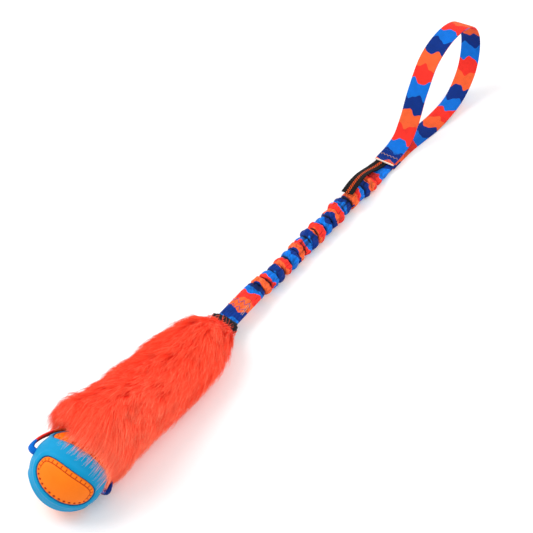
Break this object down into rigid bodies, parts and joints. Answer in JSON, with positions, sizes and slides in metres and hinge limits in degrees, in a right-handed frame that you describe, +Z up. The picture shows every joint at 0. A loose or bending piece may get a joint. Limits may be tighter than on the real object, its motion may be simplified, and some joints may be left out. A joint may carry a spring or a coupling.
{
  "type": "bungee ball tug toy",
  "caption": "Dog tug toy: rubber ball on a strap loop at the mouth of a furry sleeve, joined by a gathered bungee to a printed webbing hand loop.",
  "frame": {"origin": "middle of the toy's base on the table, halfway along its length", "axes": "+X from the ball to the hand loop, +Y to the left seen from the ball, +Z up from the table"},
  "size_m": [0.7099, 0.0684, 0.1034],
  "materials": {
    "ball_rubber": "matt moulded rubber",
    "panel_rubber": "matt moulded rubber with a groove, ladder marks and dots",
    "printed_webbing": null,
    "core_webbing": "black webbing",
    "faux_fur": "long orange pile brushed towards the ball",
    "black_knit": "matt black knit",
    "elastic": "covered elastic cord",
    "label_cloth": "black woven label, left bare"
  },
  "bodies": {
    "sleeve": {"fur_sleeve": "faux_fur", "sleeve_lining": "black_knit", "neck_cuff": "black_knit", "core_strap": "core_webbing"},
    "ball_loop": {"ball_strap": "printed_webbing"},
    "ball": {"ball_shell": "ball_rubber", "ball_panel_1": "panel_rubber", "ball_panel_2": "panel_rubber", "ball_panel_3": "panel_rubber", "ball_panel_4": "panel_rubber"},
    "lead": {"tail_tab": "printed_webbing", "bungee_cover": "printed_webbing", "elastic_core": "elastic"},
    "head": {"head_tab": "printed_webbing", "side_label": "label_cloth", "handle_upper_ply": "printed_webbing", "handle_lower_ply": "printed_webbing"},
    "handle": {"handle_loop": "printed_webbing"}
  },
  "joints": [
    {"name": "ball_swing", "type": "hinge", "parent": "sleeve", "child": "ball_loop", "pos_m": [-0.27203, -0.00019, 0.0329], "axis": [0, 0, 1], "range_deg": [-9, 9]},
    {"name": "ball_spin", "type": "hinge", "parent": "ball_loop", "child": "ball", "pos_m": [-0.32203, -0.00019, 0.0329], "axis": [-0.2402, 0.8603, 0.4497], "continuous": true},
    {"name": "lead_bend", "type": "hinge", "parent": "sleeve", "child": "lead", "pos_m": [-0.09603, -0.00019, 0.015], "axis": [0, -1, 0], "range_deg": [-80, 80]},
    {"name": "bungee_stretch", "type": "slide", "parent": "lead", "child": "head", "axis": [1, 0, 0], "range_m": [0, 0.14], "stiffness_N_per_m": 400, "deforming": ["bungee_cover", "elastic_core"]},
    {"name": "handle_swing", "type": "hinge", "parent": "head", "child": "handle", "pos_m": [0.20897, -0.00019, 0.0035], "axis": [0, -1, 0], "range_deg": [-60, 80]}
  ]
}
